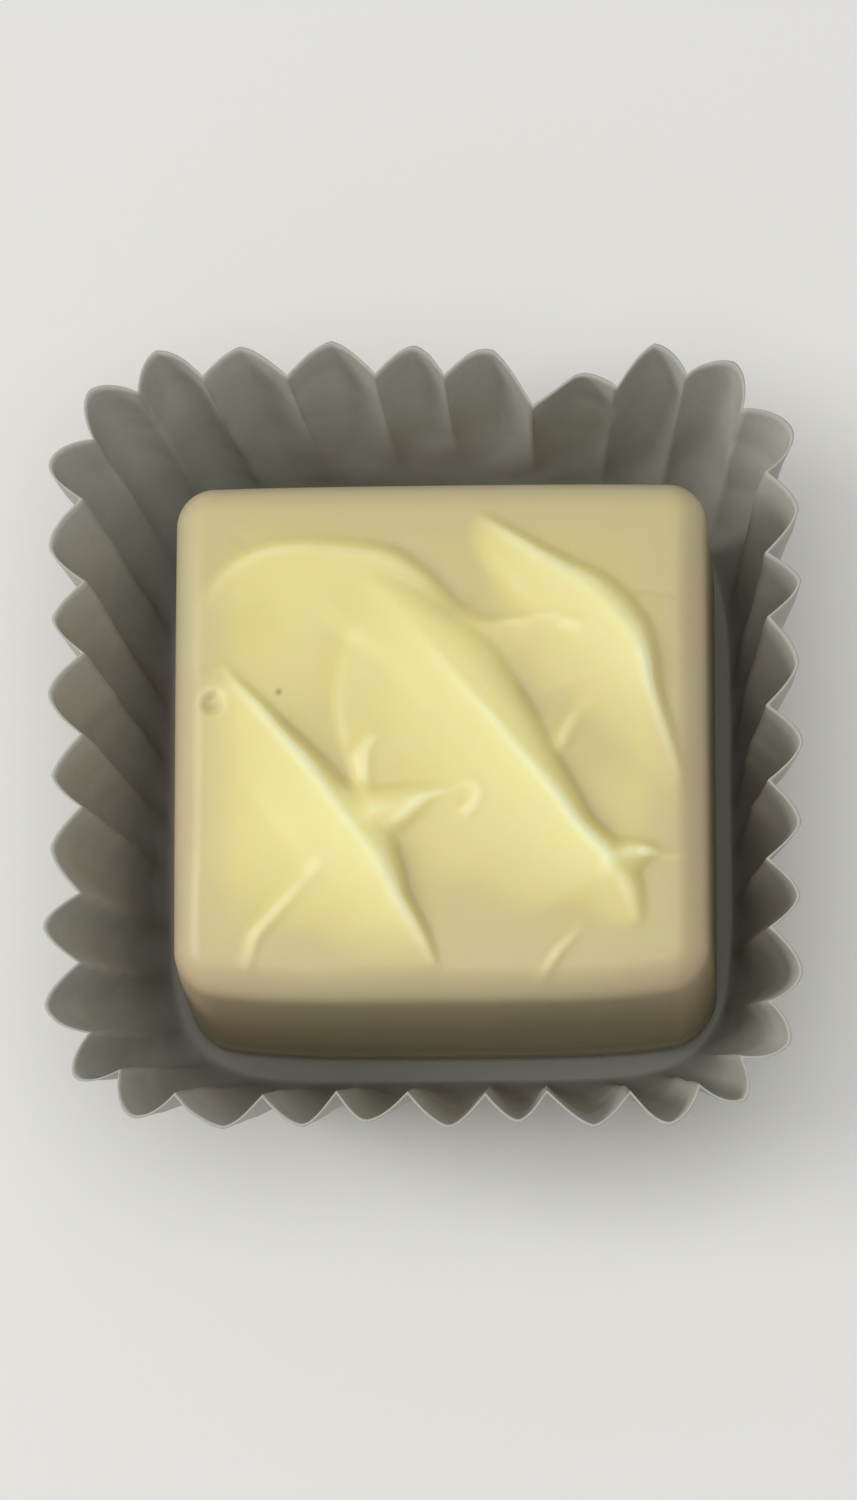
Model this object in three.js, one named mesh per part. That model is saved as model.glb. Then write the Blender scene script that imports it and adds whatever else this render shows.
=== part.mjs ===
// White chocolate square in its fluted paper case.
// Millimetres, +Z up, the case standing on z = 0 with its base centred on the Z axis.
// +Y is the back of the piece as it is shown, +X its right.

import * as THREE from "three";
import { mergeVertices } from "three/addons/utils/BufferGeometryUtils.js";

// Chocolate square
const BLOCK_WIDTH = 25;
const BLOCK_DEPTH = 24;
const BLOCK_HEIGHT = 15;
const BLOCK_OFF_CENTRE = { x: 0.8, y: -0.3 };
const TOP_EDGE_ROUND = 1.5;
const FOOT_EDGE_ROUND = 0.7;
const TOP_CORNER_RADIUS = 1.8;
const FOOT_CORNER_RADIUS = 2.2;
const FOOT_SPREAD = 0.2;
const FRONT_BOW = 0.9;
const BOW_FLATNESS = 4;
const CROWN_DROP = 0.5;
const CROWN_FLATNESS = 3;
const LID_CELLS = 46;
const EDGE_CROWDING = 0.3;
const SIDE_RINGS = 6;

// Ridges that the coating fork left on top. Each runs along its points, measured in mm from the middle of
// the top. Its height, its steep side's width (left of the direction of travel) and its gentle side's width
// are given at even steps along it. Where ridges meet, the higher one shows.
const RIDGES = [
  {
    name: "middle_ridge",
    points: [
      [-4.5, 7.9], [-2.9, 6.6], [-1.5, 5.0], [0, 3.1], [1.0, 1.9], [2.4, 0.3], [3.7, -1.3], [5.2, -3.0],
      [6.4, -4.6], [7.6, -6.1], [8.3, -7.8], [8.5, -9.8],
    ],
    height: [0.3, 0.5, 0.65, 0.75, 0.78, 0.8, 0.82, 0.82, 0.8, 0.72, 0.45, 0.05],
    steep: [1.0, 1.6, 2.0, 2.3, 2.4, 2.0, 1.5, 1.0, 0.65, 0.8, 0.7, 0.5],
    gentle: [3, 4, 6, 8, 9, 9, 9, 8, 6.5, 5, 4, 3],
  },
  {
    name: "left_ridge",
    points: [
      [-10.3, 3.2], [-9.6, 2.0], [-8.5, 0.8], [-7.3, -0.6], [-6.3, -1.7], [-5.2, -3.2], [-4.0, -4.7],
      [-2.8, -6.3], [-1.9, -7.8], [-0.9, -9.4], [-0.2, -10.9],
    ],
    height: [0.08, 0.35, 0.55, 0.65, 0.72, 0.8, 0.85, 0.85, 0.7, 0.45, 0.1],
    steep: [0.3, 0.4, 0.45, 0.55, 0.7, 1.0, 1.9, 1.0, 0.4, 0.35, 0.3],
    gentle: [4, 5, 6, 7, 8, 8, 7, 6, 5, 4, 3],
  },
  {
    name: "right_ridge",
    points: [
      [1.5, 10.2], [2.5, 9.5], [3.5, 8.8], [4.6, 8.0], [5.8, 7.2], [7.0, 6.4], [8.0, 5.4], [8.9, 4.3],
      [9.5, 3.2], [9.8, 2.0], [10.1, 0.9], [10.5, -0.3], [11.0, -1.8], [11.5, -3.2],
    ],
    height: [0.05, 0.3, 0.5, 0.65, 0.72, 0.78, 0.8, 0.8, 0.78, 0.65, 0.5, 0.38, 0.25, 0.1],
    steep: [0.4, 0.45, 0.5, 0.6, 0.75, 1.0, 1.1, 0.95, 0.5, 0.3, 0.3, 0.3, 0.3, 0.3],
    gentle: [1, 2, 3, 4, 5, 5.5, 6, 6, 6, 5, 4, 3, 2, 1.5],
  },
  {
    name: "back_lip",
    points: [
      [-10.9, 5.6], [-10.3, 6.8], [-9.3, 7.7], [-8.0, 8.25], [-6.5, 8.35], [-5.0, 8.2], [-3.5, 8.0],
      [-2.3, 7.75], [-1.5, 7.3], [-0.7, 6.7], [0.1, 5.9], [0.9, 5.3], [1.8, 4.95],
    ],
    height: [0.1, 0.22, 0.3, 0.36, 0.4, 0.43, 0.46, 0.5, 0.45, 0.38, 0.3, 0.22, 0.12],
    steep: [0.5, 0.6, 0.6, 0.6, 0.7, 0.8, 0.8, 0.8, 0.7, 0.7, 0.6, 0.5, 0.4],
    gentle: [3, 3.5, 4, 5, 6, 6, 5, 4, 3, 2.5, 2, 1.6, 1.2],
  },
  {
    name: "web",
    points: [[-4.3, -4.4], [-3.0, -4.0], [-1.7, -3.55], [-0.5, -3.2], [0.7, -3.0], [1.5, -3.05]],
    height: [0.86, 0.74, 0.64, 0.58, 0.57, 0.5],
    steep: [1.2, 0.9, 0.55, 0.35, 0.25],
    gentle: [0.3],
  },
  {
    name: "web_underside",
    points: [[1.5, -3.05], [0.7, -3.0], [-0.5, -3.2], [-1.7, -3.55], [-3.0, -4.0], [-4.3, -4.4]],
    height: [0.5, 0.57, 0.58, 0.64, 0.74, 0.86],
    steep: [0.2, 0.25, 0.35, 0.9, 1.3, 1.6],
    gentle: [0.3],
  },
  {
    name: "spur",
    points: [[7.6, -6.1], [8.5, -5.95], [9.2, -5.85], [9.8, -5.85]],
    height: [0.76, 0.6, 0.45, 0.25],
    steep: [0.6, 0.45, 0.35, 0.2],
    gentle: [0.3],
  },
  {
    name: "spur_underside",
    points: [[9.8, -5.85], [9.2, -5.85], [8.5, -5.95], [7.6, -6.1]],
    height: [0.25, 0.45, 0.6, 0.76],
    steep: [0.2, 0.7, 1.3, 1.6],
    gentle: [0.3],
  },
];

// Fine steps drawn in the coating, given as the ridges are, whose height is laid over what lies there
const FINE_LINES = [
  {
    name: "left_branch",
    points: [[-3.55, -2.7], [-3.7, -2.2], [-4.1, -1.0], [-4.5, 0.5], [-4.5, 2.0], [-4.2, 3.3], [-3.9, 4.3]],
    height: [0.14, 0.12, 0.1, 0.1, 0.09, 0.08, 0.03],
    steep: [0.5],
    gentle: [1.6],
  },
  {
    name: "back_step",
    points: [[1.0, 5.0], [2.2, 4.75], [3.5, 4.85], [4.5, 4.95], [5.6, 5.05]],
    height: [0.08, 0.15, 0.15, 0.12, 0.05],
    steep: [0.5],
    gentle: [2.4],
  },
  {
    name: "inner_step",
    points: [[7.0, 3.4], [6.5, 4.5], [5.6, 5.3], [4.6, 6.0], [3.6, 7.1], [2.6, 8.3], [2.0, 9.4]],
    height: [0, 0.1, 0.14, 0.14, 0.14, 0.12, 0.05],
    steep: [0.5],
    gentle: [1.3],
  },
  {
    name: "left_crease",
    points: [[-5.7, -6.2], [-6.6, -7.2], [-7.6, -8.2], [-8.6, -9.3], [-9.1, -10.7]],
    height: [0.06, 0.1, 0.14, 0.18, 0.1],
    steep: [0.5],
    gentle: [0.5],
  },
  {
    name: "right_crease",
    points: [[6.9, -8.7], [6.0, -9.5], [5.3, -10.2], [4.6, -11.3]],
    height: [0, 0.1, 0.16, 0.12],
    steep: [0.5],
    gentle: [0.5],
  },
];

// Low mounds where the coating lies thicker: place, radius and height in mm
const MOUNDS = [
  { x: -6.8, y: 4.6, radius: 3.5, height: 0.25 },
  { x: -9.5, y: -5.5, radius: 3.5, height: 0.12 },
  { x: 9.5, y: -3, radius: 2, height: 0.12 },
];

const SWIRL_STEPS = 36;
const CREST_SOFTNESS = 0.3;
// A steep side starts as a straight slope, as its lead says, and drops away faster towards its foot
const STEEP_LEAD = 0.4;
const STEEP_BEND = 2.2;
const GENTLE_HOLLOW = 1.35;

// Paper case: the rim is measured over the outermost flutes
const RIM_WIDTH = 35.9;
const RIM_DEPTH = 38.2;
const RIM_CORNER_RADIUS = 6;
const BASE_WIDTH = 27.2;
const BASE_DEPTH = 28;
const BASE_SQUARENESS = 5.5;
const BASE_OFF_CENTRE = { x: 0.7, y: -0.4 };
const CASE_HEIGHT = 13.2;
const PAPER = 0.3;
const FLOOR_GAP = 0.3;
// How softly the wall turns up out of the floor, as a part of its climb
const FOOT_CURVE = 0.22;
const FLUTES = 36;
const FLUTE_STEPS = 6;
const FLUTE_DEPTH = 1.7;
// How far a flute's top is drawn to a point, from 0 for round to 1 for a straight-sided fold
const FLUTE_POINT = 0.25;
// The part of the climb at which flutes spring from the plain wall, and how softly they open from there
const FLUTE_SPRING = 0.04;
const FLUTE_EASE = 1.5;
const FLUTE_START = -4.3;
const FLUTE_DRIFT = 0.33;
const FLUTE_DRIFT_LEAD = 4.5;
const FLUTE_UNEVENNESS = 0.12;
const FLUTE_SHORTFALL = 0.35;
const RIM_UNEVENNESS = 0.25;
const WALL_RINGS = 6;
// Places on the case are turns anticlockwise from the middle of its front, each with a spread. At the back
// the wall stays smooth for a part of its climb, and at the back right it is pushed in.
const SMOOTH_BACK = { turn: 0.49, spread: 0.07, reach: 0.38 };
const BUCKLE = { turn: 0.452, spread: 0.022, depth: 1.9 };
// On both sides the flutes slide towards the front on their way down, by a part of a turn
const RIGHT_SLIDE = { turn: 0.29, spread: 0.07 };
const LEFT_SLIDE = { turn: 0.71, spread: 0.07 };
const FLUTE_SLIDE = 0.017;
// Points nearer to each other than this are one point
const SAME_POINT = 1e-4;

// Uneven flutes: a simple run of shuffled numbers, the same every time
const SEEDS = { creases: 17, heights: 18, reaches: 19 };
const SEED_SPREAD = 7919;
const SHUFFLE_FACTOR = 16807;
const SHUFFLE_MODULUS = 2147483647;

// Numbers between -1 and 1.
function seededNumbers(seed, count) {
  let state = seed * SEED_SPREAD;
  return Array.from({ length: count }, () => {
    state = (state * SHUFFLE_FACTOR) % SHUFFLE_MODULUS;
    return (state / SHUFFLE_MODULUS) * 2 - 1;
  });
}

// The value at t (0 to 1) of a list whose values stand at even steps.
function along(values, t) {
  const place = t * (values.length - 1);
  const step = Math.min(Math.floor(place), Math.max(values.length - 2, 0));
  const next = values[Math.min(step + 1, values.length - 1)];
  return THREE.MathUtils.lerp(values[step], next, place - step);
}

// Where (x, y) lies from a ridge's line: how far, on which side, and how far along.
function nearestOnLine(line, x, y) {
  let best = { distance: Infinity, side: 0, t: 0 };
  for (let k = 0; k + 1 < line.length; k++) {
    const run = { x: line[k + 1].x - line[k].x, y: line[k + 1].y - line[k].y };
    const away = { x: x - line[k].x, y: y - line[k].y };
    const reach = (away.x * run.x + away.y * run.y) / (run.x ** 2 + run.y ** 2);
    const s = THREE.MathUtils.clamp(reach, 0, 1);
    const distance = Math.hypot(away.x - s * run.x, away.y - s * run.y);
    if (distance < best.distance) {
      best = { distance, side: run.x * away.y - run.y * away.x, t: (k + s) / (line.length - 1) };
    }
  }
  return best;
}

function ridgeHeight(ridge, x, y) {
  const { distance: plain, side, t } = nearestOnLine(ridge.line, x, y);
  const distance = Math.hypot(plain, CREST_SOFTNESS) - CREST_SOFTNESS;
  const down = Math.min(distance / along(ridge.steep, t), 1);
  const steep = STEEP_LEAD * down + (1 - STEEP_LEAD) * down ** STEEP_BEND;
  const gentle = Math.min(distance / along(ridge.gentle, t), 1);
  return along(ridge.height, t) * (side > 0 ? 1 - steep : (1 - gentle) ** GENTLE_HOLLOW);
}

function moundHeight(mound, x, y) {
  return mound.height * Math.exp(-((Math.hypot(x - mound.x, y - mound.y) / mound.radius) ** 2));
}

// The height of the swirled coating above the plain top.
function topRelief(swirls, x, y) {
  const ridges = Math.max(0, ...swirls.ridges.map((ridge) => ridgeHeight(ridge, x, y)));
  const lines = swirls.fineLines.reduce((sum, line) => sum + ridgeHeight(line, x, y), 0);
  return MOUNDS.reduce((sum, mound) => sum + moundHeight(mound, x, y), ridges + lines);
}

// Moves a point of a square-cornered plan onto the same plan with round corners.
function roundPlanCorner(x, y, halfX, halfY, radius) {
  const overX = Math.max(Math.abs(x) - halfX + radius, 0);
  const overY = Math.max(Math.abs(y) - halfY + radius, 0);
  const squeeze = overX && overY ? Math.max(overX, overY) / Math.hypot(overX, overY) : 1;
  return [
    Math.sign(x) * (Math.abs(x) - overX + overX * squeeze),
    Math.sign(y) * (Math.abs(y) - overY + overY * squeeze),
  ];
}

// How far a quarter-round edge falls away, at a distance in from the side it meets.
function edgeFall(inset, radius) {
  const rest = Math.max(radius - inset, 0);
  return radius - Math.sqrt(radius ** 2 - rest ** 2);
}

// A point of the chocolate's skin. u and v run from -1 to 1 over the lid; fall runs from 0 at the lid's edge
// to 1 where the side meets the underside.
function blockPoint(swirls, u, v, fall) {
  const crowd = (t) => t + (EDGE_CROWDING / Math.PI) * Math.sin(Math.PI * t);
  const spread = FOOT_SPREAD * Math.sin((Math.PI / 2) * fall);
  const z = (BLOCK_HEIGHT - TOP_EDGE_ROUND) * (1 - fall);
  const tuck = edgeFall(z, FOOT_EDGE_ROUND);
  const halfX = BLOCK_WIDTH / 2 + spread - tuck;
  const halfY = BLOCK_DEPTH / 2 + spread - tuck;
  const radius = THREE.MathUtils.lerp(TOP_CORNER_RADIUS, FOOT_CORNER_RADIUS, fall);
  const flat = { x: halfX * crowd(u), y: halfY * crowd(v) };
  const [x, plainY] = roundPlanCorner(flat.x, flat.y, halfX, halfY, radius);
  const frontness = THREE.MathUtils.clamp(-v, 0, 1);
  const bow = FRONT_BOW * frontness * (1 - (x / halfX) ** BOW_FLATNESS);
  const y = plainY - bow;
  const crownShare = Math.abs(x / halfX) ** CROWN_FLATNESS + Math.abs(plainY / halfY) ** CROWN_FLATNESS;
  const crown = CROWN_DROP * crownShare * (1 - fall);
  if (fall > 0) {
    return new THREE.Vector3(x, y, z - crown);
  }
  const inset = Math.min(halfX - Math.abs(flat.x), halfY - Math.abs(flat.y));
  const edgeFade = THREE.MathUtils.smoothstep(inset, 0, TOP_EDGE_ROUND);
  const relief = topRelief(swirls, x, plainY) * edgeFade;
  return new THREE.Vector3(x, y, BLOCK_HEIGHT - edgeFall(inset, TOP_EDGE_ROUND) - crown + relief);
}

// The chocolate square: a lid of cells, rings down its side and a flat underside.
function chocolateGeometry() {
  const withLine = (swirl) => {
    const curve = new THREE.SplineCurve(swirl.points.map(([x, y]) => new THREE.Vector2(x, y)));
    return { ...swirl, line: curve.getPoints(SWIRL_STEPS) };
  };
  const swirls = { ridges: RIDGES.map(withLine), fineLines: FINE_LINES.map(withLine) };
  const points = [];
  const index = [];
  const quad = (a, b, c, d) => index.push(a, b, c, a, c, d);
  const lid = (i, j) => i + j * (LID_CELLS + 1);
  const unit = (i) => (2 * i) / LID_CELLS - 1;
  for (let j = 0; j <= LID_CELLS; j++) {
    for (let i = 0; i <= LID_CELLS; i++) {
      points.push(blockPoint(swirls, unit(i), unit(j), 0));
    }
  }
  for (let j = 0; j < LID_CELLS; j++) {
    for (let i = 0; i < LID_CELLS; i++) {
      quad(lid(i + 1, j), lid(i + 1, j + 1), lid(i, j + 1), lid(i, j));
    }
  }
  const edge = [];
  for (const side of [0, 1, 2, 3]) {
    for (let k = 0; k < LID_CELLS; k++) {
      const far = LID_CELLS - k;
      edge.push([[k, 0], [LID_CELLS, k], [far, LID_CELLS], [0, far]][side]);
    }
  }
  let above = edge.map(([i, j]) => lid(i, j));
  for (let ring = 1; ring <= SIDE_RINGS; ring++) {
    const start = points.length;
    edge.forEach(([i, j]) => points.push(blockPoint(swirls, unit(i), unit(j), ring / SIDE_RINGS)));
    const below = edge.map((_, k) => start + k);
    edge.forEach((_, k) => {
      const next = (k + 1) % edge.length;
      quad(above[k], below[k], below[next], above[next]);
    });
    above = below;
  }
  const middle = points.length;
  points.push(new THREE.Vector3(0, 0, 0));
  above.forEach((point, k) => index.push(point, middle, above[(k + 1) % above.length]));
  const geometry = new THREE.BufferGeometry().setFromPoints(points);
  geometry.setIndex(index);
  geometry.computeVertexNormals();
  return geometry;
}

// A point of a rectangle with round corners and the way out from it, at a turn (0 to 1) anticlockwise from
// the middle of the front side.
function roundedRectangle(turn, halfX, halfY, radius) {
  const flatX = halfX - radius;
  const flatY = halfY - radius;
  const bend = (Math.PI / 2) * radius;
  const runs = [flatX, bend, 2 * flatY, bend, 2 * flatX, bend, 2 * flatY, bend, flatX];
  const corners = [[flatX, -flatY], [flatX, flatY], [-flatX, flatY], [-flatX, -flatY]];
  let left = turn * runs.reduce((sum, run) => sum + run, 0);
  let run = 0;
  while (run < runs.length - 1 && left > runs[run]) {
    left -= runs[run];
    run += 1;
  }
  const quarter = Math.floor(run / 2);
  const turned = run % 2 ? left / radius : 0;
  const angle = (Math.PI / 2) * (quarter - 1) + turned;
  const out = new THREE.Vector2(Math.cos(angle), Math.sin(angle));
  const corner = new THREE.Vector2(...corners[run % 2 ? quarter : (quarter + 3) % 4]);
  const point = corner.addScaledVector(out, radius);
  if (run % 2 === 0) {
    const start = run === 0 ? flatX : 0;
    point.addScaledVector(new THREE.Vector2(-out.y, out.x), left + start);
  }
  return { point, out };
}

// The edge of the case's floor, a square with well rounded corners, in the direction of a point.
function floorEdge(toward) {
  const reachX = Math.abs(toward.x) / (BASE_WIDTH / 2);
  const reachY = Math.abs(toward.y) / (BASE_DEPTH / 2);
  const scale = (reachX ** BASE_SQUARENESS + reachY ** BASE_SQUARENESS) ** (-1 / BASE_SQUARENESS);
  const middle = new THREE.Vector2(BASE_OFF_CENTRE.x, BASE_OFF_CENTRE.y);
  return middle.addScaledVector(toward, scale);
}

// Where each crease between two flutes lies, as a turn round the case.
function creaseTurns() {
  const jitter = seededNumbers(SEEDS.creases, FLUTES);
  return jitter.map((shake, k) => {
    const drift = FLUTE_DRIFT * Math.cos((2 * Math.PI * (k + FLUTE_DRIFT_LEAD)) / FLUTES);
    return (k + FLUTE_START + drift + shake * FLUTE_UNEVENNESS) / FLUTES;
  });
}

// The flute that a turn falls in and how far through it, 0 and 1 at its creases.
function fluteAt(creases, turn) {
  for (let k = 0; k < FLUTES; k++) {
    const start = creases[k];
    const width = (k + 1 < FLUTES ? creases[k + 1] : creases[0] + 1) - start;
    const through = THREE.MathUtils.euclideanModulo(turn - start, 1) / width;
    if (through < 1) {
      return { flute: k, through };
    }
  }
  return { flute: 0, through: 0 };
}

// How near a turn is to the middle of a place on the case, from 1 there to 0 well away from it.
function nearness(turn, place) {
  return Math.exp(-(((turn - place.turn) / place.spread) ** 2));
}

// How far a flute bulges, from 0 at its creases to 1 at its top.
function fluteSwell(through) {
  const fold = 1 - Math.abs(2 * through - 1);
  return THREE.MathUtils.lerp(Math.sin(Math.PI * through), fold, FLUTE_POINT);
}

// How far a flute has opened at a height up the wall, from 0 where it springs to 1 at the rim.
function fluteGrowth(climb, turn) {
  const spring = FLUTE_SPRING + SMOOTH_BACK.reach * nearness(turn, SMOOTH_BACK);
  const open = THREE.MathUtils.clamp((climb - spring) / (1 - spring), 0, 1);
  return open ** FLUTE_EASE * (1 + FLUTE_EASE * (1 - open));
}

// A point of the case's skin: along runs from 0 at the middle of the floor to 1 at its edge and 2 at the rim,
// and inner is 0 on the outside of the paper and 1 on the inside.
function casePoint(creases, shakes, turn, along, inner) {
  const climb = Math.max(along - 1, 0);
  const { flute, through } = fluteAt(creases, turn);
  const outline = [(RIM_WIDTH - FLUTE_DEPTH) / 2, (RIM_DEPTH - FLUTE_DEPTH) / 2, RIM_CORNER_RADIUS];
  const { point: rim, out } = roundedRectangle(turn, ...outline);
  const slide = FLUTE_SLIDE * (nearness(turn, LEFT_SLIDE) - nearness(turn, RIGHT_SLIDE));
  const slidTurn = THREE.MathUtils.euclideanModulo(turn + slide, 1);
  const point = floorEdge(roundedRectangle(slidTurn, ...outline).point).lerp(rim, climb);
  const swell = fluteSwell(through);
  const lobe = swell * (FLUTE_DEPTH - FLUTE_SHORTFALL * Math.abs(shakes.reach[flute])) - FLUTE_DEPTH / 2;
  const dent = BUCKLE.depth * nearness(turn, BUCKLE) * climb ** 2;
  const push = lobe * fluteGrowth(climb, turn) - dent - inner * PAPER;
  point.addScaledVector(out, push).multiplyScalar(Math.min(along, 1));
  const height = CASE_HEIGHT + RIM_UNEVENNESS * shakes.height[flute] * swell;
  const rise = (climb ** 2 / (climb + FOOT_CURVE)) * (1 + FOOT_CURVE);
  const lift = inner * PAPER * THREE.MathUtils.clamp(1 - climb / FOOT_CURVE, 0, 1);
  return new THREE.Vector3(point.x, point.y, rise * height + lift);
}

// The paper case, turned as a plain cup whose every point is then moved to its place in the fluted wall.
function caseGeometry() {
  const creases = creaseTurns();
  const shakes = {
    height: seededNumbers(SEEDS.heights, FLUTES),
    reach: seededNumbers(SEEDS.reaches, FLUTES),
  };
  const profile = [new THREE.Vector2(0, 0)];
  for (let ring = 0; ring <= WALL_RINGS; ring++) {
    profile.push(new THREE.Vector2(1 + ring / WALL_RINGS, 0));
  }
  for (let ring = WALL_RINGS; ring >= 0; ring--) {
    profile.push(new THREE.Vector2(1 + ring / WALL_RINGS, 1));
  }
  profile.push(new THREE.Vector2(0, 1));
  const rows = profile.length;
  const columns = FLUTES * FLUTE_STEPS;
  const cup = new THREE.LatheGeometry(profile, columns);
  const position = cup.getAttribute("position");
  for (let column = 0; column <= columns; column++) {
    const flute = Math.floor(column / FLUTE_STEPS) % FLUTES;
    const next = flute + 1 < FLUTES ? creases[flute + 1] : creases[0] + 1;
    const through = (column % FLUTE_STEPS) / FLUTE_STEPS;
    const turn = THREE.MathUtils.euclideanModulo(THREE.MathUtils.lerp(creases[flute], next, through), 1);
    for (let row = 0; row < rows; row++) {
      const { x, y } = profile[row];
      position.setXYZ(column * rows + row, ...casePoint(creases, shakes, turn, x, y).toArray());
    }
  }
  cup.deleteAttribute("normal");
  cup.deleteAttribute("uv");
  const geometry = mergeVertices(cup, SAME_POINT);
  geometry.computeVertexNormals();
  return geometry;
}

function makeChocolate() {
  const white = new THREE.MeshStandardMaterial({ color: 0xe2d59d, roughness: 0.4, metalness: 0 });
  const mesh = new THREE.Mesh(chocolateGeometry(), white);
  mesh.name = "chocolate";
  mesh.position.set(BLOCK_OFF_CENTRE.x, BLOCK_OFF_CENTRE.y, PAPER + FLOOR_GAP);
  return mesh;
}

function makePaperCase() {
  const paper = new THREE.MeshStandardMaterial({ color: 0x8d8a80, roughness: 0.9, metalness: 0 });
  const mesh = new THREE.Mesh(caseGeometry(), paper);
  mesh.name = "paper_case";
  return mesh;
}

const group = new THREE.Group();
group.add(makeChocolate(), makePaperCase());

export default group;
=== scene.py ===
import math

import bmesh
import bpy
import numpy as np
from mathutils import Matrix, Vector, noise


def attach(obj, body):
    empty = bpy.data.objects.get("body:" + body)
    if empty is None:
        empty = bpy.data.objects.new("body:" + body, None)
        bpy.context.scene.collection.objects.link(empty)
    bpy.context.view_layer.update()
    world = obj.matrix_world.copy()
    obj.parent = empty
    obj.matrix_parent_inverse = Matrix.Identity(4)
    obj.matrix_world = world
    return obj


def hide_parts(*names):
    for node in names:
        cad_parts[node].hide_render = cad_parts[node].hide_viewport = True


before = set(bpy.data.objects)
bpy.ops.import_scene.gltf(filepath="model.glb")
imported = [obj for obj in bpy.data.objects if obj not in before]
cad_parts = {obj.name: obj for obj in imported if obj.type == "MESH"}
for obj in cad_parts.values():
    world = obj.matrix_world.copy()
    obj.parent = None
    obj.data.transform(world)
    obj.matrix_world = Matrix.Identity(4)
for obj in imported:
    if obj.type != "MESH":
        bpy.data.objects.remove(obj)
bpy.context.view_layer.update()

# A white chocolate square in its fluted paper case, standing on a pale table.
# Shapes are worked out in millimetres and turned to metres as their meshes are made.
MM = 0.001
NEARLY_NOTHING = 1e-9
# Points of a raw shape nearer to each other than this are one point
SAME_POINT = 1e-5

# ---------------------------------------------------------------- chocolate square
# Heights are measured from the square's own underside, which lies BLOCK_FOOT above the table
BLOCK_WIDTH = 25.0
BLOCK_DEPTH = 24.0
BLOCK_HEIGHT = 15.3
BLOCK_FOOT = 0.3
BLOCK_OFF_CENTRE = (0.8, -0.3)
TOP_EDGE_ROUND = 1.5
FOOT_EDGE_ROUND = 0.7
TOP_CORNER_RADIUS = 1.8
FOOT_CORNER_RADIUS = 2.2
FOOT_SPREAD = 0.2
FOOT_BEAD_HEIGHT = 2.2
FOOT_GROOVE_WIDTH = 0.6
FOOT_GROOVE_DEPTH = 0.1
FRONT_BOW = 0.9
BOW_FLATNESS = 4
CROWN_DROP = 0.5
CROWN_FLATNESS = 3
LID_CELLS = 280
# How much closer together the lid's cells lie at its edge, as a part of an even step
EDGE_CROWDING = 0.3
SIDE_RINGS = 18
CREST_SOFTNESS = 0.2
# A steep side starts as a straight slope and drops away faster towards its foot
STEEP_LEAD = 0.4
STEEP_BEND = 2.2
GENTLE_HOLLOW = 1.35
SWIRL_STEPS = 48
RIDGE_BLEND = 0.1
# The part of a hollow's length over which it fades in from its end, where it already has some depth
HOLLOW_FADE = (-0.1, 0.15)
# The relief is worked out on a square map, whose reach is from its middle to its edge
RELIEF_MAP_STEP = 0.08
RELIEF_MAP_REACH = 14
RELIEF_SOFTNESS = 0.13
# How many of its own widths a blur takes in on each side
BLUR_REACH = 3
# How widely a place is compared with what lies round it, to tell a crest and to tell a hollow
CREST_REACH = 0.3
HOLLOW_REACH = 1.2
PIT = {"place": (-10.55, 1.2), "radius": 0.62, "depth": 0.26}
SPECK = {"place": (-7.5, 1.65), "radius": 0.13, "reach_in_radii": 1.5}

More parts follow.
